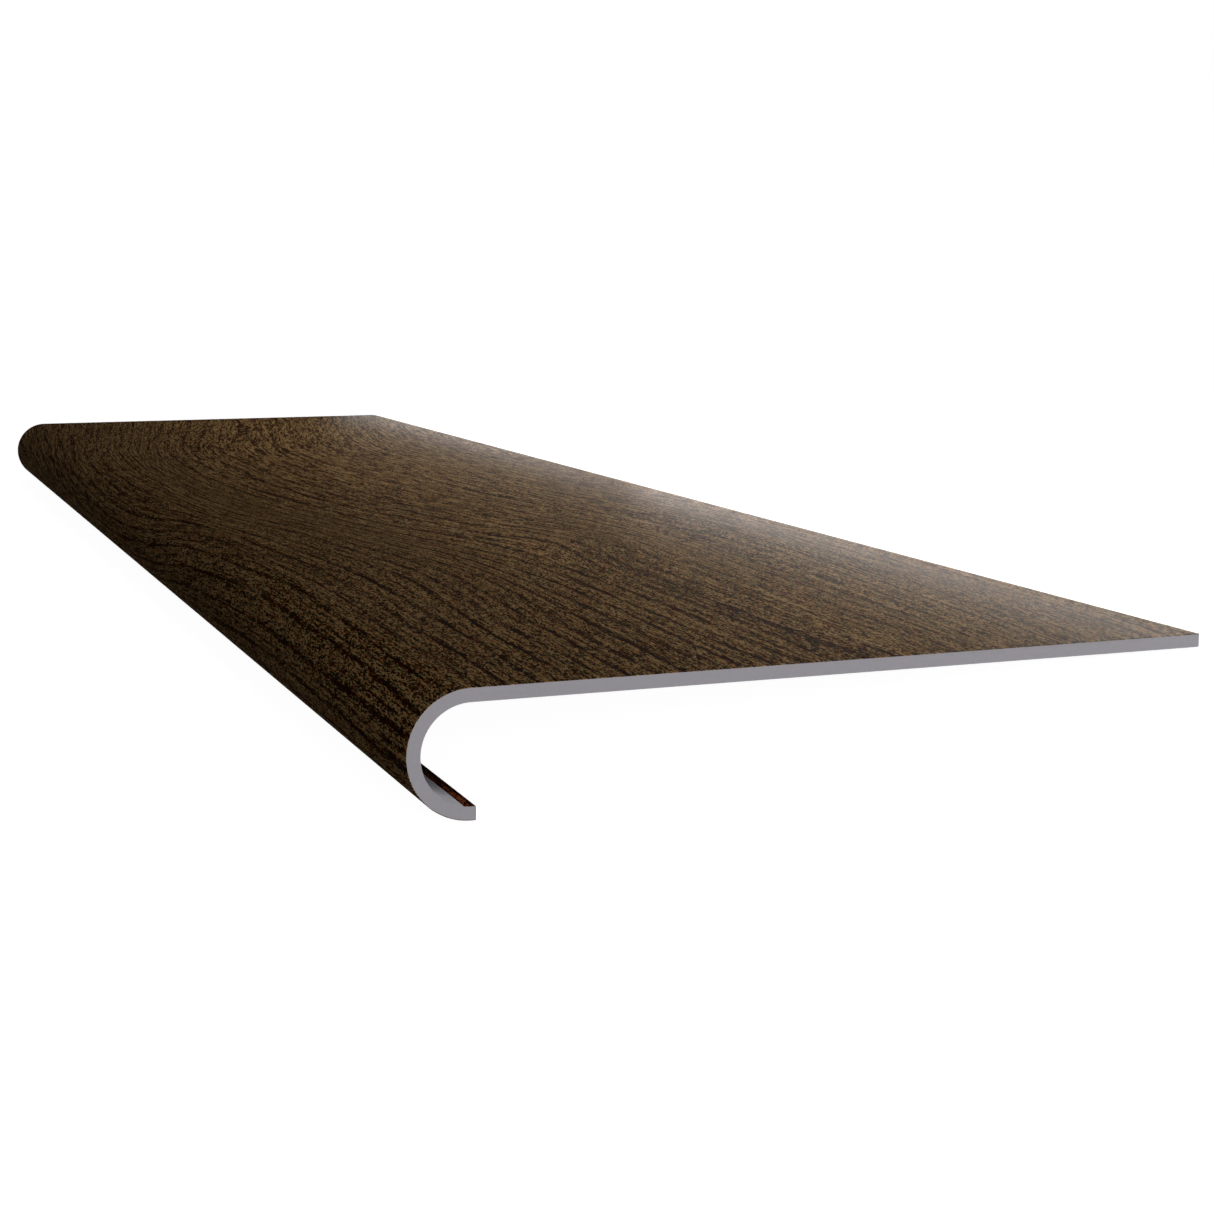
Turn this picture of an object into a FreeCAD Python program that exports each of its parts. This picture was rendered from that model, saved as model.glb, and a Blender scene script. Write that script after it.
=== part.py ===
import FreeCAD, Part
import math
import os

import Sketcher

# Retrofit stair tread: a flat plate whose front edge is bent down and back into a half-round nosing,
# so that it hooks over the front edge of an old stair tread. The section is the same along the length.
#
# Row frame: X runs along the length, -Y is the front with the nosing, +Z is up. The tread lies unheld
# on a level floor, on the end of its lip and on its back edge, so the plate slopes down to the back.
# The origin is on the floor, in the middle of the tread's box.

# Alias, size in mm, what it measures.
SIZES = [
    ("tread_length", 1200.0, "from one sawn end to the other"),
    ("tread_depth", 308.0, "from the front of the nosing to the back edge, along the plate"),
    ("plate_thickness", 5.0, "the wall, the same in the plate, the nosing and the lip"),
    ("nose_height", 45.0, "from the top face to the underside of the lip, outside"),
    ("lip_run", 1.25, "the flat run of the lip past the end of the half round"),
    ("edge_radius", 0.3, "the eased long edges of the lip and of the back edge"),
]

# Expressions on the sheet that several features share.
NOSE_RADIUS = "(Sizes.nose_height / 2)"
BACK_RUN = f"(Sizes.tread_depth - {NOSE_RADIUS})"
DROP = "(Sizes.nose_height - Sizes.plate_thickness)"
# The slope at which the lip's end and the back edge touch the floor together.
REST_TILT = f"atan({DROP} / ({BACK_RUN} - Sizes.lip_run))"

# How far the solid's volume, in mm3, and an edge's place, in mm, may be off what is worked out by hand.
VOLUME_TOLERANCE = 1.0
PLACE_TOLERANCE = 0.01


def make_sheet(doc):
    """The driving dimensions, one row each: what it measures, and the value under its alias."""
    sheet = doc.addObject("Spreadsheet::Sheet", "Sizes")
    for row, (alias, value, meaning) in enumerate(SIZES, start=1):
        sheet.set(f"A{row}", meaning)
        sheet.set(f"B{row}", str(value))
        sheet.setAlias(f"B{row}", alias)
    doc.recompute()
    return sheet


def origin_plane(body, role):
    return next(f for f in body.Origin.OriginFeatures if f.Role == role)


def bind(sketch, constraint, expression):
    """Adds a driving dimension to a sketch and ties its value to the sheet."""
    index = sketch.addConstraint(constraint)
    sketch.setExpression(f"Constraints[{index}]", expression)


def draw_section(body, sheet):
    """The section across the length. Sketch x runs to the back from under the nosing's centre,
    and sketch y runs up from the underside of the lip."""
    sketch = body.newObject("Sketcher::SketchObject", "Section")
    sketch.AttachmentSupport = [(origin_plane(body, "YZ_Plane"), "")]
    sketch.MapMode = "FlatFace"

    height = float(sheet.nose_height)
    wall = float(sheet.plate_thickness)
    radius = height / 2
    back = float(sheet.tread_depth) - radius
    lip = float(sheet.lip_run)

    def line(start, end):
        return sketch.addGeometry(
            Part.LineSegment(FreeCAD.Vector(*start, 0), FreeCAD.Vector(*end, 0))
        )

    def half_round(r):
        circle = Part.Circle(FreeCAD.Vector(0, radius, 0), FreeCAD.Vector(0, 0, 1), r)
        return sketch.addGeometry(Part.ArcOfCircle(circle, math.pi / 2, 3 * math.pi / 2))

    top_face = line((0, height), (back, height))
    back_edge = line((back, height), (back, height - wall))
    underside = line((back, height - wall), (0, height - wall))
    inner_round = half_round(radius - wall)
    lip_inside = line((0, wall), (lip, wall))
    lip_end = line((lip, wall), (lip, 0))
    lip_underside = line((lip, 0), (0, 0))
    outer_round = half_round(radius)

    start, end, centre = 1, 2, 3
    x_axis, y_axis = -1, -2
    for a, a_end, b, b_end in (
        (top_face, start, outer_round, start),
        (underside, end, inner_round, start),
        (lip_inside, start, inner_round, end),
        (lip_underside, end, outer_round, end),
    ):
        sketch.addConstraint(Sketcher.Constraint("Tangent", a, a_end, b, b_end))
    for a, b in (
        (top_face, back_edge),
        (back_edge, underside),
        (lip_inside, lip_end),
        (lip_end, lip_underside),
    ):
        sketch.addConstraint(Sketcher.Constraint("Coincident", a, end, b, start))
    sketch.addConstraint(
        Sketcher.Constraint("Coincident", inner_round, centre, outer_round, centre)
    )
    sketch.addConstraint(Sketcher.Constraint("PointOnObject", outer_round, centre, y_axis))
    sketch.addConstraint(Sketcher.Constraint("PointOnObject", lip_underside, end, x_axis))
    for flat in (top_face, lip_underside):
        sketch.addConstraint(Sketcher.Constraint("Horizontal", flat))
    for flat in (underside, lip_inside):
        sketch.addConstraint(Sketcher.Constraint("Parallel", flat, top_face))
    for upright in (back_edge, lip_end):
        sketch.addConstraint(Sketcher.Constraint("Vertical", upright))

    bind(sketch, Sketcher.Constraint("Radius", outer_round, radius), NOSE_RADIUS)
    bind(sketch, Sketcher.Constraint("Distance", back_edge, wall), "Sizes.plate_thickness")
    bind(sketch, Sketcher.Constraint("DistanceX", -1, 1, back_edge, start, back), BACK_RUN)
    bind(sketch, Sketcher.Constraint("DistanceX", -1, 1, lip_end, start, lip), "Sizes.lip_run")
    return sketch


def eased_corners(sheet):
    """The section's sharp corners, as (y, z), where the long edges are eased: two on the lip's end
    and two on the back edge."""
    height = float(sheet.nose_height)
    wall = float(sheet.plate_thickness)
    lip = float(sheet.lip_run)
    back = float(sheet.tread_depth) - height / 2
    return [(lip, 0), (lip, wall), (back, height - wall), (back, height)]


def long_edges(shape, spots):
    """Names of the edges along the length that pass through these (y, z) places of the section."""
    names = []
    for index, edge in enumerate(shape.Edges, start=1):
        middle = edge.CenterOfMass
        along = edge.BoundBox.XLength > shape.BoundBox.XLength / 2
        if along and any(
            math.hypot(middle.y - y, middle.z - z) < PLACE_TOLERANCE for y, z in spots
        ):
            names.append(f"Edge{index}")
    return names


def rest_on_floor(body):
    """Tips the body back until the lip's end and the back edge both touch z = 0, and centres its box
    on the origin. The rounded edges touch, so their radius shifts the contact a little."""
    body.Placement = FreeCAD.Placement(
        FreeCAD.Vector(0, 0, 0), FreeCAD.Rotation(FreeCAD.Vector(-1, 0, 0), 1)
    )
    sine = f"sin({REST_TILT})"
    cosine = f"cos({REST_TILT})"
    height_of_datum = f"Sizes.edge_radius * (1 - {cosine} - {sine}) + Sizes.lip_run * {sine}"
    front = f"{NOSE_RADIUS} * (1 - {sine})"
    back = (
        f"({BACK_RUN} - Sizes.edge_radius) * {cosine}"
        f" + (Sizes.nose_height - Sizes.edge_radius) * {sine} + Sizes.edge_radius"
    )
    body.setExpression("Placement.Rotation.Angle", REST_TILT)
    body.setExpression("Placement.Base.y", f"({front} - ({back})) / 2")
    body.setExpression("Placement.Base.z", height_of_datum)


def make_tread(doc, sheet):
    """The whole tread as one piece: the section pushed out along the length, with eased long edges."""
    body = doc.addObject("PartDesign::Body", "StairTread")
    body.Label = "stair_tread"
    section = draw_section(body, sheet)

    plate = body.newObject("PartDesign::Pad", "Length")
    plate.Profile = section
    plate.Midplane = True
    plate.setExpression("Length", "Sizes.tread_length")
    doc.recompute()

    eased = body.newObject("PartDesign::Fillet", "EasedEdges")
    eased.Base = (plate, long_edges(plate.Shape, eased_corners(sheet)))
    eased.setExpression("Radius", "Sizes.edge_radius")
    body.Tip = eased
    rest_on_floor(body)
    doc.recompute()
    return body


def section_area(sheet):
    """The area of the section by hand, to compare the solid's volume with."""
    wall = float(sheet.plate_thickness)
    outer = float(sheet.nose_height) / 2
    flat = float(sheet.tread_depth) - outer + float(sheet.lip_run)
    plate_and_lip = flat * wall
    half_ring = math.pi * (outer**2 - (outer - wall) ** 2) / 2
    eased_off = (1 - math.pi / 4) * float(sheet.edge_radius) ** 2 * len(eased_corners(sheet))
    return plate_and_lip + half_ring - eased_off


def check(doc, sheet, body):
    for thing in doc.Objects:
        bad = [state for state in thing.State if state in ("Invalid", "Error")]
        if bad:
            raise RuntimeError(f"{thing.Label} is {bad}")
    shape = body.Shape
    if shape.isNull() or not shape.isValid() or len(shape.Solids) != 1:
        raise RuntimeError(f"{body.Label} isn't one valid solid")
    expected = section_area(sheet) * float(sheet.tread_length)
    if abs(shape.Volume - expected) > VOLUME_TOLERANCE:
        raise RuntimeError(f"{body.Label} holds {shape.Volume} mm3 and not {expected}")


def main():
    doc = FreeCAD.newDocument("StairTread")
    sheet = make_sheet(doc)
    body = make_tread(doc, sheet)
    check(doc, sheet, body)
    box = body.Shape.BoundBox
    print(f"{body.Label}: {box.XLength:.2f} x {box.YLength:.2f} x {box.ZLength:.2f} mm,")
    print(f"lowest point {box.ZMin:.4f} mm, plate {body.Placement.Rotation.Angle:.6f} rad off level")
    os.makedirs("parts", exist_ok=True)
    body.Shape.exportStep(os.path.join("parts", f"{body.Label}.step"))


main()
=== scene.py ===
"""The looks of the retrofit stair tread: its grey vinyl board, its dark oak film, the light and the camera.

Lengths are in metres unless a name or a comment says millimetres.
The tread is drawn in its level frame: y = 0, z = 0 is the lowest point of the round nosing, y grows to the
back and x = 0 is the middle of its length. rest() then lays it on the floor as it lies unheld.
"""
import math

import bpy
import numpy as np
from mathutils import Matrix, Vector


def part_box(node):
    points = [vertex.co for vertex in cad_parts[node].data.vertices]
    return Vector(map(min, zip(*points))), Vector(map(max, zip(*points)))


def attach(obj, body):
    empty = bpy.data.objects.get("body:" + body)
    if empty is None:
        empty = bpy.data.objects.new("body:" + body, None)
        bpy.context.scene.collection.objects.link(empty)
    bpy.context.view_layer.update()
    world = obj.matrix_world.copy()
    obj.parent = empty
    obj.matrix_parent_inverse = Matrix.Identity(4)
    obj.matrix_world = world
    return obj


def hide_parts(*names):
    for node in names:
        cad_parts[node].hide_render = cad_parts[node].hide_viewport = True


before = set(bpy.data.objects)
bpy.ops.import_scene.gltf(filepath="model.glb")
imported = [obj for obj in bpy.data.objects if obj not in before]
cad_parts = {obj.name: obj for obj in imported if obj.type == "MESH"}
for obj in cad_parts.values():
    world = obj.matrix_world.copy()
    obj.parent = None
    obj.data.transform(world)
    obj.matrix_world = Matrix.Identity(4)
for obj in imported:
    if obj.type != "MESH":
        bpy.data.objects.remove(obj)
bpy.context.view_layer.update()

# The tread's driving sizes. Its length is read from the frame.
NODE = "stair_tread"
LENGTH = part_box(NODE)[1].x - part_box(NODE)[0].x
DEPTH = 0.308
NOSE_HEIGHT = 0.045
WALL = 0.005
LIP_RUN = 0.00125
EDGE_RADIUS = 0.0003
NOSE_RADIUS = NOSE_HEIGHT / 2
BACK_RUN = DEPTH - NOSE_RADIUS
# Millimetres to the metre.
MM = 1000

# The film that is bonded over the board.
FILM = 0.0002
STRIP_INSIDE = 0.004
FILM_OVERHANG = 0.00025
EMBOSS = 0.00003

# How it rests: on the end of its lip and on the lower back edge.
REST_TILT = math.atan((NOSE_HEIGHT - WALL) / (BACK_RUN - LIP_RUN))
SIN_REST = math.sin(REST_TILT)
COS_REST = math.cos(REST_TILT)
REST_Y = (NOSE_RADIUS * (1 - SIN_REST) - (BACK_RUN - EDGE_RADIUS) * COS_REST
          - (NOSE_HEIGHT - EDGE_RADIUS) * SIN_REST - EDGE_RADIUS) / 2
REST_Z = EDGE_RADIUS * (1 - COS_REST - SIN_REST) + LIP_RUN * SIN_REST

# The photograph's camera, in the tread's level frame.
PHOTO_PIXELS = 1214
FOCAL_PIXELS = 2162.447
CAMERA_AT = (1.266343, -0.206630, 0.185166)
CAMERA_YAW = 0.364730
CAMERA_PITCH = 0.161557
SENSOR_MM = 36.0
CLIP_NEAR = 0.01
CLIP_FAR = 100.0


def rest(y, z):
    """Lays points (y, z) of the level frame on the floor."""
    return REST_Y + y * COS_REST + z * SIN_REST, REST_Z - y * SIN_REST + z * COS_REST


# Section


def section_stretches():
    """The section's outline from the back top corner over the top, as (length, turn) pairs."""
    corner = math.radians(90)
    film_corner = math.acos(1 - FILM / EDGE_RADIUS)
    inner_radius = NOSE_RADIUS - WALL
    return [
        (EDGE_RADIUS * film_corner, film_corner),
        (BACK_RUN - EDGE_RADIUS, 0.0),
        (NOSE_RADIUS * math.pi, math.pi),
        (LIP_RUN - EDGE_RADIUS, 0.0),
        (EDGE_RADIUS * corner, corner),
        (WALL - 2 * EDGE_RADIUS, 0.0),
        (EDGE_RADIUS * corner, corner),
        (LIP_RUN - EDGE_RADIUS, 0.0),
        (inner_radius * math.pi, -math.pi),
        (BACK_RUN - FILM_OVERHANG - EDGE_RADIUS, 0.0),
        (EDGE_RADIUS * corner, corner),
    ]


# The places of some stretches in that list: the plate's top, the round, and the lip's lower and inner faces.
PLATE_TOP = 1
ROUND = 2
LIP_BELOW = 3
LIP_INSIDE = 7
# Shorter stretches than this are left out, and a pitch may be passed by this part of a step.
SHORTEST = 1e-7
ROUNDING = 1e-6


class Section:
    """Walks along the section's outline, so that a distance and a depth below the surface give a point."""

    def __init__(self):
        lengths, turns = zip(*section_stretches())
        self.lengths = np.array(lengths)
        self.turns = np.array(turns)
        self.starts = np.concatenate([[0.0], np.cumsum(self.lengths)[:-1]])
        first = math.pi - self.turns[0]
        self.headings = first + np.concatenate([[0.0], np.cumsum(self.turns)[:-1]])
        self.points = [np.array([BACK_RUN - EDGE_RADIUS + EDGE_RADIUS * math.sin(self.turns[0]),
                                 NOSE_HEIGHT - FILM])]
        for index in range(len(self.lengths) - 1):
            self.points.append(self.step(index, self.lengths[index]))
        self.film_end = self.starts[LIP_INSIDE] + STRIP_INSIDE
        self.end = self.starts[-1] + self.lengths[-1]

    def step(self, index, distance):
        """The point at a distance along one stretch."""
        start = self.points[index]
        heading = self.headings[index]
        if self.turns[index] == 0:
            return start + distance * np.array([math.cos(heading), math.sin(heading)])
        radius = self.lengths[index] / self.turns[index]
        turned = heading + distance / radius
        return start + radius * np.array([math.sin(turned) - math.sin(heading),
                                          math.cos(heading) - math.cos(turned)])

    def at(self, distance, depth):
        """The point (y, z) at a distance along the outline, below the surface by a depth."""
        last = len(self.starts) - 1
        index = int(np.clip(np.searchsorted(self.starts, distance, side="right") - 1, 0, last))
        along = distance - self.starts[index]
        turned = self.headings[index] + self.turns[index] * along / self.lengths[index]
        return self.step(index, along) + depth * np.array([-math.sin(turned), math.cos(turned)])

    def stations(self, first, last, pitches):
        """Distances from first to last: the ends of each stretch, and between them steps of its pitch."""
        found = [first]
        for start, length, pitch in zip(self.starts, self.lengths, pitches):
            low = max(start, first)
            high = min(start + length, last)
            if high - low < SHORTEST:
                continue
            count = max(1, math.ceil((high - low) / pitch - ROUNDING))
            found += [low + (high - low) * step / count for step in range(1, count + 1)]
        return np.array(found)


# Meshes


def add_mesh(name, vertices, faces, smooth_under):
    """Makes an object of vertices and faces, smooth where faces meet at less than an angle in degrees."""
    mesh = bpy.data.meshes.new(name)
    mesh.from_pydata([tuple(v) for v in vertices], [], faces)
    mesh.polygons.foreach_set("use_smooth", [True] * len(mesh.polygons))
    mesh.set_sharp_from_angle(angle=math.radians(smooth_under))
    mesh.validate()
    mesh.update()
    piece = bpy.data.objects.new(name, mesh)
    bpy.context.scene.collection.objects.link(piece)
    return piece


def set_point_numbers(piece, name, *numbers):
    """Keeps three numbers at each vertex under a name, for the material."""
    attribute = piece.data.attributes.new(name, "FLOAT_VECTOR", "POINT")
    attribute.data.foreach_set("vector", np.stack(numbers, -1).astype(np.float32).ravel())


# How far apart rows lie on each stretch of the section. WHOLE takes a stretch in one step.
GRAIN_PITCH = 0.00125
CORNER_PITCH = 0.0001
LIP_PITCH = 0.0005
LIP_END_PITCH = 0.001
STRIP_PITCH = 0.0007
HOLLOW_PITCH = 0.0011
WHOLE = 1.0
FILM_PITCHES = (CORNER_PITCH, GRAIN_PITCH, GRAIN_PITCH, LIP_PITCH, CORNER_PITCH, LIP_END_PITCH, CORNER_PITCH,
                LIP_PITCH, STRIP_PITCH, WHOLE, WHOLE)
CORE_PITCHES = (WHOLE,) * 8 + (HOLLOW_PITCH, WHOLE, CORNER_PITCH)
FILM_COLUMNS = 200
# The film's inner face has one row to so many rows of the outer face.
FLAT_SKIP = 8
ROUND_SKIP = 2
# Faces that meet at less than this angle, in degrees, are shaded smooth.
FILM_SMOOTH = 50
CORE_SMOOTH = 30


def inner_rows(outer, section):
    """Numbers of the outer rows with an inner row below them. The end of each stretch is among them."""
    kept = [0]
    while kept[-1] < len(outer) - 1:
        here = outer[kept[-1]]
        skip = 1
        if section.starts[PLATE_TOP] <= here < section.starts[ROUND]:
            skip = FLAT_SKIP
        elif section.starts[ROUND] <= here < section.starts[LIP_BELOW]:
            skip = ROUND_SKIP
        ends = [k for k in range(kept[-1] + 1, kept[-1] + skip + 1) if k < len(outer)]
        stop = next((k for k in ends if np.isclose(outer[k], section.starts).any()), ends[-1])
        kept.append(stop)
    return kept


def film_faces(rows, columns, kept):
    """The film's faces: outer side, inner side, the two long edges and the two ends."""

    def spot(row, column):
        return row * columns + column

    def outward(first, second, column):
        return (spot(first, column), spot(first, column + 1), spot(second, column + 1), spot(second, column))

    def inward(first, second, column):
        return (spot(first, column), spot(second, column), spot(second, column + 1), spot(first, column + 1))

    last = rows + len(kept) - 1
    faces = [outward(row, row + 1, column) for row in range(rows - 1) for column in range(columns - 1)]
    faces += [inward(row, row + 1, column) for row in range(rows, last) for column in range(columns - 1)]
    for column in range(columns - 1):
        faces.append(inward(0, rows, column))
        faces.append(outward(rows - 1, last, column))
    for index in range(len(kept) - 1):
        above = range(kept[index], kept[index + 1] + 1)
        below = rows + index
        for column, order in ((0, 1), (columns - 1, -1)):
            edge = [spot(row, column) for row in above] + [spot(below + 1, column), spot(below, column)]
            faces.append(tuple(edge[::order]))
    return faces


def make_film(section):
    """The film as a closed skin with its grain pressed into the outer face. Also gives its inner rows."""
    outer = section.stations(0.0, section.film_end, FILM_PITCHES)
    kept = inner_rows(outer, section)
    from_end = np.linspace(0.0, LENGTH, FILM_COLUMNS + 1)
    figure = grain_figure(outer * MM, from_end * MM)
    surface = np.array([section.at(s, 0.0) for s in outer])
    inward = np.array([section.at(s, 1.0) for s in outer]) - surface
    points = surface[:, None, :] + inward[:, None, :] * (figure["press"] * EMBOSS)[..., None]
    below = np.array([section.at(outer[k], FILM) for k in kept])
    below = np.repeat(below[:, None, :], len(from_end), axis=1)
    y, z = rest(*np.moveaxis(np.concatenate([points, below]), -1, 0))
    x = np.broadcast_to(LENGTH / 2 - from_end, y.shape)
    vertices = np.stack([x, y, z], -1).reshape(-1, 3)
    film = add_mesh("tread_film", vertices, film_faces(len(outer), len(from_end), kept), FILM_SMOOTH)
    layers = {name: np.concatenate([values, values[kept]]) for name, values in figure.items()}
    along = np.broadcast_to(from_end * MM, y.shape)
    down = np.broadcast_to(np.concatenate([outer, outer[kept]])[:, None] * MM, y.shape)
    set_point_numbers(film, "unrolled", along, down, layers["ring"])
    set_point_numbers(film, "figure", layers["contrast"], layers["streak"], layers["across"])
    return film, outer[kept]


def make_core(section, covered):
    """The board: a prism that lies under the film where covered and is the tread's own face where bare."""
    bare = section.stations(section.film_end, section.end, CORE_PITCHES)
    outline = [section.at(s, FILM) for s in covered] + [section.at(s, 0.0) for s in bare]
    outline.append(np.array([BACK_RUN - FILM_OVERHANG, NOSE_HEIGHT - FILM - EDGE_RADIUS / 2]))
    y, z = rest(*np.array(outline).T)
    count = len(y)
    near = [(LENGTH / 2, y[k], z[k]) for k in range(count)]
    far = [(-LENGTH / 2, y[k], z[k]) for k in range(count)]
    faces = [(k, count + k, count + (k + 1) % count, (k + 1) % count) for k in range(count)]
    faces.append(tuple(range(count)))
    faces.append(tuple(range(2 * count - 1, count - 1, -1)))
    return add_mesh("tread_core", near + far, faces, CORE_SMOOTH)


# Grain figure, in millimetres: u from the near end, s from the back edge along the film.
# Each guide is a ring's number and its s at every guide place u.

GUIDE_U = (0, 60, 120, 180, 240, 300, 336, 372, 420, 480, 540, 600, 680, 760, 840, 920, 1020, 1200)
GUIDES = (
    (-9.0, (-10, -16, -21, -25, -29, -32, -34, -32, -29, -23, -16, -10, -3, 3, 5, 2, -9, -36)),
    (-4.0, (30, 24, 19, 15, 11, 8, 6, 8, 11, 17, 24, 30, 37, 43, 45, 42, 31, 4)),
    (0.0, (60, 53, 47, 42, 37, 33, 31, 33, 37, 45, 54, 62, 71, 80, 84, 79, 64, 31)),
    (5.0, (87, 83, 80, 77, 75, 75, 76, 79, 84, 92, 102, 109, 116, 123, 126, 119, 101, 64)),
    (11.0, (142, 142, 141, 140, 139, 131, 129, 139, 157, 171, 184, 192, 198, 201, 200, 192, 173, 136)),
    (14.0, (178, 177, 175, 174, 176, 180, 188, 196, 207, 219, 229, 236, 240, 241, 238, 230, 212, 178)),
    (19.0, (230, 227, 225, 221, 219, 225, 230, 235, 243, 256, 266, 272, 275, 275, 272, 265, 250, 220)),
    (24.0, (285, 284, 283, 282, 282, 284, 287, 290, 295, 303, 310, 314, 316, 316, 313, 308, 296, 272)),
    (31.0, (357, 356, 355, 355, 355, 356, 357, 358, 360, 364, 368, 371, 373, 373, 371, 367, 358, 342)),
)
NOISE_CELLS = 256
# How the rings wander: length, width, height in rings, seed.
WANDER = ((110, 16, 0.4, 11), (45, 8, 0.2, 12))
# Rings up to about this number show faintly and those past it fully.
STRONG_FROM = 10.2
STRONG_OVER = 0.5
FAINT = 0.5
# Patches of weaker and stronger rings: length, width in parts of a ring, seed, least strength, range.
PATCHES = (160, 0.8, 13)
PATCH_LEAST = 0.65
PATCH_RANGE = 0.7
# The rings show less from one u on, over a length, and end at the lip's end.
FAR_FROM = 450
FAR_OVER = 400
FAR_LOSS = 0.2
FADE_FROM = 352
FADE_OVER = 8
# One ring is heavy up to a place along the tread.
HEAVY_RING = 11.0
HEAVY_WIDTH = 0.55
HEAVY_DEPTH = 0.9
HEAVY_UNTIL = 290
HEAVY_OVER = 25
# Where in a ring the pressed line lies, and its half width.
PRESSED_AT = 0.9
PRESSED_WIDTH = 0.14
PRESSED_STREAK = 0.5
# Short dark flecks that leave the rings' line at a slant: start (u, s), end (u, s), half width.
FLECKS = (((336, 108), (264, 120), 1.6), ((420, 147), (372, 123), 1.8))
FLECK_TAPER = 4


def smooth_between(x, knots, values):
    """A smooth curve through the values at the knots, whose slope at a knot is the mean of its two rises."""
    knots = np.asarray(knots, float)
    values = np.asarray(values, float)
    gaps = np.diff(knots)
    rises = np.diff(values) / gaps
    slopes = np.concatenate([[rises[0]], (rises[1:] + rises[:-1]) / 2, [rises[-1]]])
    index = np.clip(np.searchsorted(knots, x, side="right") - 1, 0, len(gaps) - 1)
    t = (x - knots[index]) / gaps[index]
    h = gaps[index]
    return (values[index] * (1 + 2 * t) * (1 - t) ** 2 + slopes[index] * h * t * (1 - t) ** 2
            + values[index + 1] * t * t * (3 - 2 * t) + slopes[index + 1] * h * t * t * (t - 1))


def value_noise(x, y, seed):
    """Smooth noise from 0 to 1 that changes over one unit of x and y, the same in every run."""
    table = np.random.default_rng(seed).random((NOISE_CELLS, NOISE_CELLS))
    column = np.floor(x).astype(int)
    row = np.floor(y).astype(int)
    fx = x - column
    fy = y - row
    fx = fx * fx * (3 - 2 * fx)
    fy = fy * fy * (3 - 2 * fy)

    def corner(dx, dy):
        return table[(column + dx) % NOISE_CELLS, (row + dy) % NOISE_CELLS]

    top = corner(0, 0) * (1 - fx) + corner(1, 0) * fx
    bottom = corner(0, 1) * (1 - fx) + corner(1, 1) * fx
    return top * (1 - fy) + bottom * fy


def bump_at(value, centre, half_width):
    """One at the centre, a half at the half width, and next to none at twice that."""
    return np.exp(-np.log(2) * ((value - centre) / half_width) ** 2)


def ring_numbers(s, places):
    """The growth ring's number at each spot, which rises by one from ring to ring."""
    rings = np.array([ring for ring, line in GUIDES])
    numbers = np.empty(s.shape)
    for column in range(s.shape[1]):
        numbers[:, column] = smooth_between(s[:, column], places[:, column], rings)
    return numbers


def flecks(u, s):
    """How strongly the slanting flecks show at each spot."""
    shown = np.zeros(u.shape)
    for start, end, half_width in FLECKS:
        along = (u - start[0]) / (end[0] - start[0])
        centre = start[1] + (end[1] - start[1]) * along
        ends = np.clip(FLECK_TAPER * along, 0, 1) * np.clip(FLECK_TAPER * (1 - along), 0, 1)
        shown = np.maximum(shown, bump_at(s, centre, half_width) * ends)
    return shown


def grain_figure(s_row, u_row):
    """The print's layout on the film's grid.

    ring is the growth ring's number, contrast how strongly it shows, streak extra dark lines, across the
    measure across the grain in mm, and press how deep the film is pressed.
    """
    u, s = np.meshgrid(u_row, s_row)
    places = np.array([smooth_between(u_row, GUIDE_U, line) for ring, line in GUIDES])
    straight = ring_numbers(s, places)
    ring = straight
    for length, width, height, seed in WANDER:
        ring = ring + height * (value_noise(u / length, s / width, seed) - 0.5)
    strong = 1 / (1 + np.exp(-(ring - STRONG_FROM) / STRONG_OVER))
    contrast = FAINT + (1 - FAINT) * strong
    length, width, seed = PATCHES
    contrast = contrast * (PATCH_LEAST + PATCH_RANGE * value_noise(u / length, ring * width, seed))
    contrast = contrast * (1 - FAR_LOSS * np.clip((u - FAR_FROM) / FAR_OVER, 0, 1))
    contrast = contrast * (1 - np.clip((s - FADE_FROM) / FADE_OVER, 0, 1))
    heavy = HEAVY_DEPTH * bump_at(ring, HEAVY_RING, HEAVY_WIDTH)
    heavy = heavy / (1 + np.exp((u - HEAVY_UNTIL) / HEAVY_OVER))
    streak = heavy + flecks(u, s)
    pressed = bump_at(ring - np.floor(ring), PRESSED_AT, PRESSED_WIDTH) * contrast
    press = np.clip(pressed + PRESSED_STREAK * streak, 0, 1)
    across = np.interp(straight, [number for number, line in GUIDES], [line[0] for number, line in GUIDES])
    across = across + np.minimum(s - places[0], 0) + np.maximum(s - places[-1], 0)
    return {"ring": ring, "contrast": contrast, "streak": streak, "across": across, "press": press}


# Materials

RELIEF = 0.0001


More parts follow.
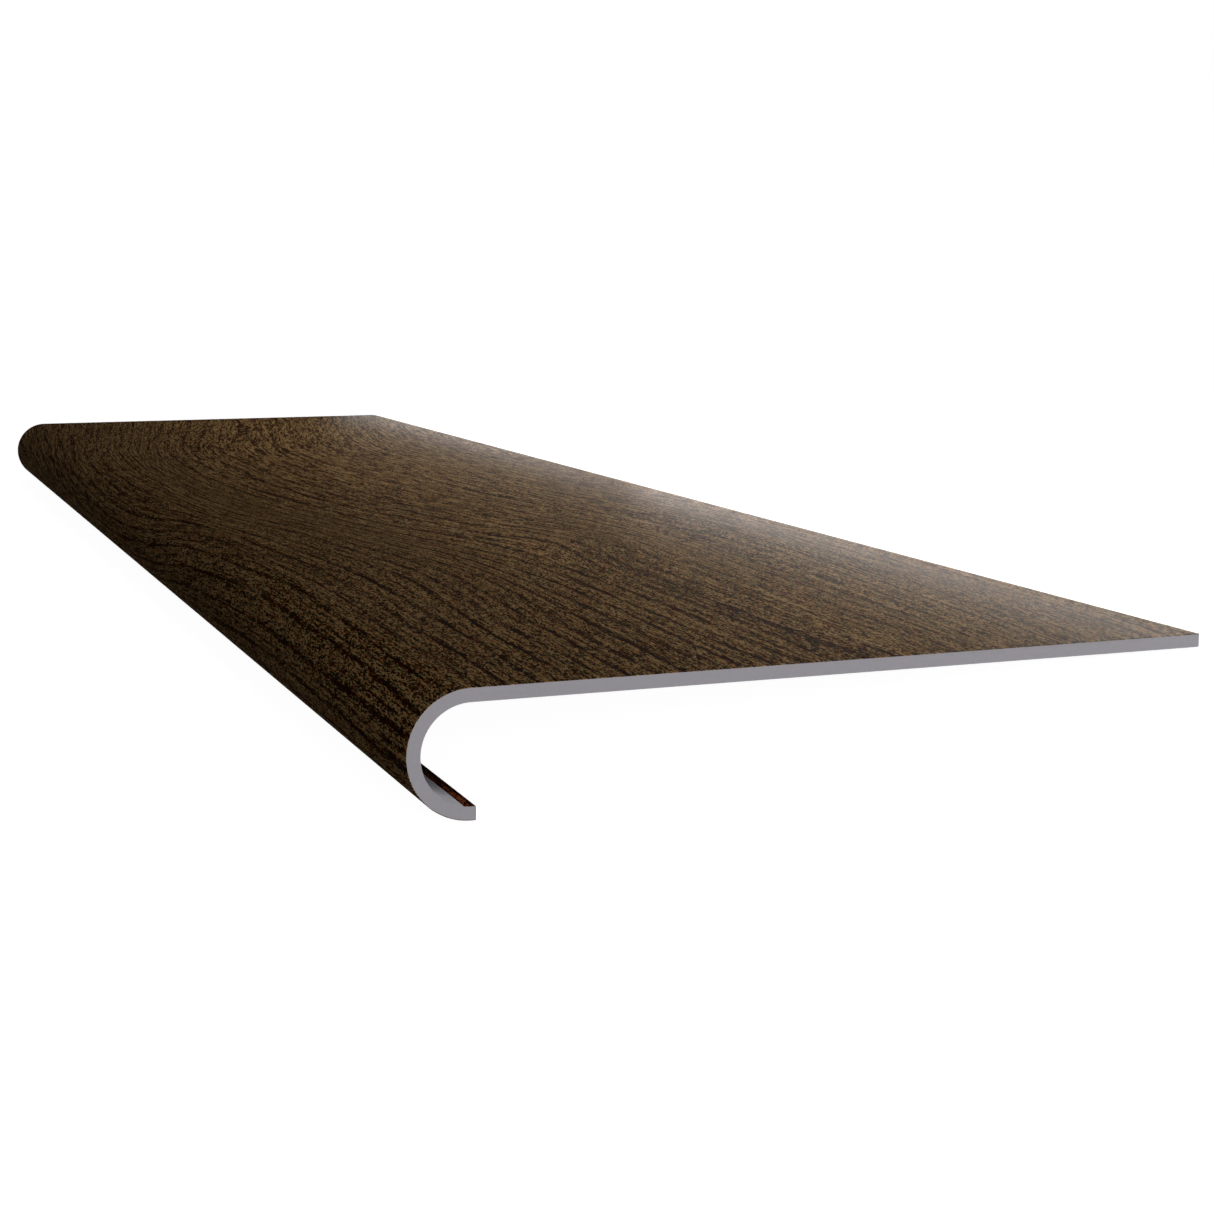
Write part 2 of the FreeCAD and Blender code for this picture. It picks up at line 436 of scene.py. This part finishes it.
class Nodes:
    """The node tree of a material or a world, emptied, with short calls for the nodes used here."""

    def __init__(self, owner):
        owner.use_nodes = True
        self.owner = owner
        self.tree = owner.node_tree
        self.tree.nodes.clear()

    def add(self, kind, inputs=None, **settings):
        """Adds a node, sets its settings, and sets or links its inputs."""
        node = self.tree.nodes.new(kind)
        for key, value in settings.items():
            setattr(node, key, value)
        for key, value in (inputs or {}).items():
            if isinstance(value, bpy.types.NodeSocket):
                self.tree.links.new(value, node.inputs[key])
            else:
                node.inputs[key].default_value = value
        return node

    def math(self, operation, first, second=0.0, clamp=False):
        """One sum, product or the like of two numbers."""
        return self.add("ShaderNodeMath", {0: first, 1: second},
                        operation=operation, use_clamp=clamp).outputs[0]

    def each(self, operation, first, second):
        """One sum, product or the like of two vectors or colours, part by part."""
        return self.add("ShaderNodeVectorMath", {0: first, 1: second}, operation=operation).outputs["Vector"]

    def varied(self, value, strength):
        """A number from 0 to 1 as one about none, of a strength."""
        return self.math("MULTIPLY", self.math("SUBTRACT", value, 0.5), strength)

    def point_numbers(self, name):
        """The three numbers that the mesh keeps at each vertex under a name."""
        kept = self.add("ShaderNodeAttribute", attribute_name=name).outputs["Vector"]
        return self.add("ShaderNodeSeparateXYZ", {0: kept}).outputs

    def noise(self, vector, scale, detail, roughness=0.5, dimensions="3D"):
        """A smooth noise from 0 to 1."""
        inputs = {"Vector": vector, "Scale": scale, "Detail": detail, "Roughness": roughness}
        return self.add("ShaderNodeTexNoise", inputs, noise_dimensions=dimensions).outputs["Fac"]

    def cells(self, vector):
        """A number from 0 to 1 that differs from cell to cell of a scattered pattern, a unit to a cell."""
        colour = self.add("ShaderNodeTexVoronoi", {"Vector": vector, "Scale": 1.0},
                          voronoi_dimensions="2D").outputs["Color"]
        return self.add("ShaderNodeSeparateColor", {0: colour}).outputs[0]

    def ramp(self, factor, stops):
        """A colour that follows stops of (place, (red, green, blue))."""
        node = self.add("ShaderNodeValToRGB", {"Fac": factor})
        ramp = node.color_ramp
        while len(ramp.elements) < len(stops):
            ramp.elements.new(1.0)
        for element, (place, colour) in zip(ramp.elements, stops):
            element.position = place
            element.color = (*colour, 1.0)
        return node.outputs["Color"]

    def curve(self, factor, stops):
        """A number that follows stops of (place, value)."""
        return self.ramp(factor, [(place, (value,) * 3) for place, value in stops])

    def matt(self, colour, height, relief, roughness, specular):
        """Ends a material: a matt surface of a colour, slightly raised where the height is more."""
        bump = self.add("ShaderNodeBump", {"Strength": relief, "Distance": RELIEF, "Height": height})
        shader = self.add("ShaderNodeBsdfPrincipled", {
            "Base Color": colour,
            "Roughness": roughness,
            "Specular IOR Level": specular,
            "Normal": bump.outputs["Normal"],
        })
        self.add("ShaderNodeOutputMaterial", {"Surface": shader.outputs[0]})


# The print's colours by tone, and its mean tone.
FILM_TONES = (
    (0.0, (0.009, 0.0030, 0.0010)),
    (0.2, (0.033, 0.0124, 0.0037)),
    (0.4, (0.082, 0.0384, 0.0122)),
    (0.6, (0.140, 0.0708, 0.0244)),
    (0.8, (0.206, 0.1120, 0.0428)),
    (1.0, (0.309, 0.1850, 0.0810)),
)
FILM_TONE = 0.525
# A dark line and a fainter, finer one to a growth ring.
RING_LINE = ((0.0, 0.5), (0.05, 0.1), (0.12, 0.0), (0.3, 0.0), (0.38, 0.25), (0.45, 0.35), (0.5, 0.15),
             (0.57, 0.0), (0.72, 0.0), (0.82, 0.7), (0.9, 1.0), (0.96, 0.9), (1.0, 0.5))
RING_DEPTH = 0.9
STREAK_DEPTH = 0.35
# Cells along the lines, of this length and width in mm, leave from a least part of the line's depth upwards.
BREAKS = (24.0, 2.0)
BREAK_SHIFT = (11.9, 57.1, 0.0)
BREAK_LEAST = 0.35
BREAK_RANGE = 1.3
# Length along the grain and width across it, in mm, and strength of each size of dash.
DASHES = ((1.5, 0.4, 2.2), (3.5, 0.6, 1.0), (10.0, 0.9, 0.8))
# Dashes are weaker where the rings show less, down to this part of their strength.
CALM = 0.6
# The print grows coarser along the tread: a size of dash that fades in from one place over a length.
COARSE = (12.0, 0.8, 2.0)
COARSE_FROM = 200.0
COARSE_OVER = 700.0
# Long smooth threads: length, width, strength.
THREADS = ((160.0, 2.5, 0.9), (240.0, 1.2, 1.9))
THREAD_DETAIL = 3.0
THREAD_ROUGHNESS = 0.6
# Length and width of the specks whose hue runs from a rare teal to orange, and what each end adds.
SPECKS = (1.0, 0.7)
SPECK_SHIFT = (31.7, 13.3, 0.0)
SPECK_TEAL = (-0.085, 0.012, 0.014)
SPECK_ORANGE = (0.035, -0.003, -0.008)
# Over the lip's end and inside the lip the film is redder and darker, from a place down the film over a
# width, in mm. The red bands are the film's own colour; the darkening toward the inside of the lip is
# painted shade.
STRIP_FROM = 357.0
STRIP_OVER = 10.0
STRIP_TINT_AND_SHADE = (
    (0.0, (1.0, 1.0, 1.0)),
    (0.3, (0.9, 0.6, 0.5)),
    (0.55, (0.3, 0.17, 0.17)),
    (0.66, (0.25, 0.12, 0.11)),
    (0.76, (0.8, 0.38, 0.34)),
    (0.84, (0.6, 0.27, 0.24)),
    (0.93, (0.2, 0.09, 0.08)),
)


def film_material():
    """Dark oak print: growth rings, pores and short dashes along the grain, under a matt wear layer."""
    n = Nodes(bpy.data.materials.new("dark_oak_film"))
    along, down, ring = n.point_numbers("unrolled")
    contrast, streak, across = n.point_numbers("figure")

    def grain_place(length, width, shift=None):
        place = n.add("ShaderNodeCombineXYZ", {0: n.math("DIVIDE", along, length),
                                               1: n.math("DIVIDE", across, width)}).outputs[0]
        return n.each("ADD", place, shift) if shift else place

    tone = FILM_TONE
    calm = n.math("ADD", CALM, n.math("MULTIPLY", contrast, 1 - CALM))
    for length, width, strength in DASHES:
        shade = n.varied(n.cells(grain_place(length, width)), strength)
        tone = n.math("ADD", tone, n.math("MULTIPLY", shade, calm))
    length, width, strength = COARSE
    fade_in = n.math("DIVIDE", n.math("SUBTRACT", along, COARSE_FROM), COARSE_OVER, clamp=True)
    shade = n.varied(n.cells(grain_place(length, width)), strength)
    tone = n.math("ADD", tone, n.math("MULTIPLY", shade, fade_in))
    for length, width, strength in THREADS:
        thread = n.noise(grain_place(length, width), 1.0, THREAD_DETAIL, THREAD_ROUGHNESS, "2D")
        tone = n.math("ADD", tone, n.varied(thread, strength))
    line = n.curve(n.math("FRACT", ring), RING_LINE)
    line = n.math("MULTIPLY", line, n.math("MULTIPLY", contrast, RING_DEPTH))
    breaks = n.cells(grain_place(*BREAKS, BREAK_SHIFT))
    line = n.math("MULTIPLY", line, n.math("ADD", BREAK_LEAST, n.math("MULTIPLY", breaks, BREAK_RANGE)))
    tone = n.math("SUBTRACT", tone, line)
    tone = n.math("SUBTRACT", tone, n.math("MULTIPLY", streak, STREAK_DEPTH))
    hue = n.math("SQRT", n.cells(grain_place(*SPECKS, SPECK_SHIFT)))
    speck = n.add("ShaderNodeMix", {0: hue, 4: SPECK_TEAL, 5: SPECK_ORANGE}, data_type="VECTOR").outputs[1]
    colour = n.each("MAXIMUM", n.each("ADD", n.ramp(tone, FILM_TONES), speck), FILM_TONES[0][1])
    # Painted shade: the film's colour darkens toward the inside of the lip; its red bands are the film's
    # own.
    turned_in = n.math("DIVIDE", n.math("SUBTRACT", down, STRIP_FROM), STRIP_OVER, clamp=True)
    colour = n.each("MULTIPLY", colour, n.ramp(turned_in, STRIP_TINT_AND_SHADE))
    n.matt(colour, tone, relief=0.015, roughness=0.7, specular=0.0002)
    return n.owner


CORE_GREY = (0.43, 0.412, 0.443)
# Grains and clouds: how many to the metre, detail, share.
CORE_SPECKLE = ((900.0, 2.0, 0.45), (25.0, 3.0, 0.2))
# Drawn lines: how many to the metre along and across the tread, detail, share.
CORE_LINES = (1.5, 500.0, 500.0)
CORE_LINE_DETAIL = 3.0
CORE_LINE_SHARE = 0.35
# From which to which tone the grey changes, and its darkest and lightest parts.
CORE_TONES = ((0.2, 0.93), (0.8, 1.07))


def core_material():
    """Grey rigid vinyl with a very fine mineral speckle and faint drawn lines along its length."""
    n = Nodes(bpy.data.materials.new("grey_vinyl_core"))
    place = n.add("ShaderNodeTexCoord").outputs["Object"]
    lines = n.noise(n.each("MULTIPLY", place, CORE_LINES), 1.0, CORE_LINE_DETAIL)
    tone = n.math("MULTIPLY", lines, CORE_LINE_SHARE)
    for scale, detail, share in CORE_SPECKLE:
        tone = n.math("ADD", tone, n.math("MULTIPLY", n.noise(place, scale, detail), share))
    shades = [(stop, tuple(part * value for value in CORE_GREY)) for stop, part in CORE_TONES]
    n.matt(n.ramp(tone, shades), tone, relief=0.15, roughness=0.8, specular=0.0005)
    return n.owner


# Studio

FLOOR_HALF = 6.0
# The floor's own white near the tread and farther off, at parts of its half width.
FLOOR_WHITES = ((0.11, 0.965), (0.25, 1.0))
# How much lamp light the floor adds where it is seen, which keeps the shadow, and how much it throws back.
FLOOR_LIT = 0.3
FLOOR_BOUNCE = 0.25
AMBIENT = 0.065
WHITE = (1.0, 1.0, 1.0, 1.0)
# Lamps: name, place, the point it is aimed at, size, radiance, spread in degrees, and whether it gives gloss
# alone. The two strips make the sheen along the back edge. The small lamp in the nosing's hollow stands for
# the light that falls in at the sawn end.
LAMPS = (
    ("behind", (0.1, 0.28, 0.08), (0.1, -1.0, 0.08), (1.35, 0.08), 2.2, 180.0, False),
    ("over_back", (0.1, 0.085, 0.5), (0.1, 0.085, 0.0), (1.6, 0.08), 0.8, 50.0, False),
    ("above", (0.0, 0.1, 1.2), (0.0, 0.0, 0.0), (1.6, 0.6), 0.52, 180.0, False),
    ("end", (1.7, -0.2, 0.25), (0.6, 0.0, 0.02), (0.8, 0.4), 7.5, 180.0, False),
    ("hollow", (0.594, -0.131, 0.022), (0.594, -0.138, 0.0), (0.012, 0.012), 3.2, 180.0, False),
    ("far_end", (-1.7, -0.1, 0.1), (-0.6, -0.02, 0.02), (0.8, 0.15), 6.0, 180.0, False),
    ("near_sheen", (0.45, 0.167, 0.0125), (0.45, -0.8, 0.0125), (0.9, 0.012), 288.0, 180.0, True),
    ("far_sheen", (-0.4, 0.167, 0.0125), (-0.4, -0.8, 0.0125), (0.8, 0.012), 150.0, 180.0, True),
)


def shown_directly(n):
    """One for rays that come straight from the camera, from a gloss or through glass, else none."""
    path = n.add("ShaderNodeLightPath").outputs
    seen = n.math("MAXIMUM", path["Is Camera Ray"], path["Is Glossy Ray"])
    return n.math("MAXIMUM", seen, path["Is Transmission Ray"])


def make_floor():
    """A wide pale floor that shows white and keeps a soft shadow of the tread."""
    corners = [(-FLOOR_HALF, -FLOOR_HALF, 0), (FLOOR_HALF, -FLOOR_HALF, 0), (FLOOR_HALF, FLOOR_HALF, 0),
               (-FLOOR_HALF, FLOOR_HALF, 0)]
    floor = add_mesh("floor", corners, [(0, 1, 2, 3)], CORE_SMOOTH)
    n = Nodes(bpy.data.materials.new("pale_floor"))
    place = n.add("ShaderNodeTexCoord").outputs["Object"]
    away = n.add("ShaderNodeVectorMath", {0: place}, operation="LENGTH").outputs["Value"]
    white = n.curve(n.math("DIVIDE", away, FLOOR_HALF), FLOOR_WHITES)
    glow = n.add("ShaderNodeEmission", {"Strength": white})
    lit = n.add("ShaderNodeBsdfDiffuse", {"Color": (FLOOR_LIT,) * 3 + (1.0,)})
    shown = n.add("ShaderNodeAddShader", {0: glow.outputs[0], 1: lit.outputs[0]})
    bounce = n.add("ShaderNodeBsdfDiffuse", {"Color": (FLOOR_BOUNCE,) * 3 + (1.0,)})
    both = n.add("ShaderNodeMixShader", {0: shown_directly(n), 1: bounce.outputs[0], 2: shown.outputs[0]})
    n.add("ShaderNodeOutputMaterial", {"Surface": both.outputs[0]})
    floor.data.materials.append(n.owner)


def make_world():
    """White to the eye and in reflections, and a faint even light on the tread."""
    n = Nodes(bpy.data.worlds.new("studio"))
    faint = n.add("ShaderNodeBackground", {"Color": WHITE, "Strength": AMBIENT})
    white = n.add("ShaderNodeBackground", {"Color": WHITE, "Strength": 1.0})
    both = n.add("ShaderNodeMixShader", {0: shown_directly(n), 1: faint.outputs[0], 2: white.outputs[0]})
    n.add("ShaderNodeOutputWorld", {"Surface": both.outputs[0]})
    bpy.context.scene.world = n.owner


def softbox(name, at, aim, size, radiance, spread, gloss):
    """A rectangular lamp at a place, aimed at a point. It gives plain light, or gloss alone."""
    light = bpy.data.lights.new(name, "AREA")
    light.shape = "RECTANGLE"
    light.size = size[0]
    light.size_y = size[1]
    light.energy = radiance * math.pi * size[0] * size[1]
    light.spread = math.radians(spread)
    lamp = bpy.data.objects.new(name, light)
    lamp.location = at
    lamp.rotation_euler = (Vector(aim) - Vector(at)).to_track_quat("-Z", "Y").to_euler()
    lamp.visible_camera = False
    lamp.visible_diffuse = not gloss
    lamp.visible_glossy = gloss
    bpy.context.scene.collection.objects.link(lamp)


def make_camera():
    """The camera that the photograph was taken with, turned with the tread into its resting pose."""
    turned = Matrix.Rotation(-REST_TILT, 3, "X")
    cos_yaw, sin_yaw = math.cos(CAMERA_YAW), math.sin(CAMERA_YAW)
    cos_pitch, sin_pitch = math.cos(CAMERA_PITCH), math.sin(CAMERA_PITCH)
    forward = turned @ Vector((-cos_yaw * cos_pitch, sin_yaw * cos_pitch, -sin_pitch))
    right = turned @ Vector((sin_yaw, cos_yaw, 0.0))
    up = right.cross(forward)
    camera = bpy.data.objects.new("camera", bpy.data.cameras.new("camera"))
    pose = Matrix((right, up, -forward)).transposed().to_4x4()
    pose.translation = (CAMERA_AT[0], *rest(CAMERA_AT[1], CAMERA_AT[2]))
    camera.matrix_world = pose
    camera.data.sensor_width = SENSOR_MM
    camera.data.lens = SENSOR_MM * FOCAL_PIXELS / PHOTO_PIXELS
    camera.data.clip_start = CLIP_NEAR
    camera.data.clip_end = CLIP_FAR
    bpy.context.scene.collection.objects.link(camera)
    bpy.context.scene.camera = camera


def dress_tread():
    """Puts the film and the board in the CAD node's place."""
    section = Section()
    film, covered = make_film(section)
    core = make_core(section, covered)
    film.data.materials.append(film_material())
    core.data.materials.append(core_material())
    for piece, slot in ((film, "decor"), (core, "core")):
        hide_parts(NODE)
        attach(piece, "root")


dress_tread()
make_floor()
make_world()
for lamp in LAMPS:
    softbox(*lamp)
make_camera()
bpy.context.scene.view_settings.view_transform = "Standard"
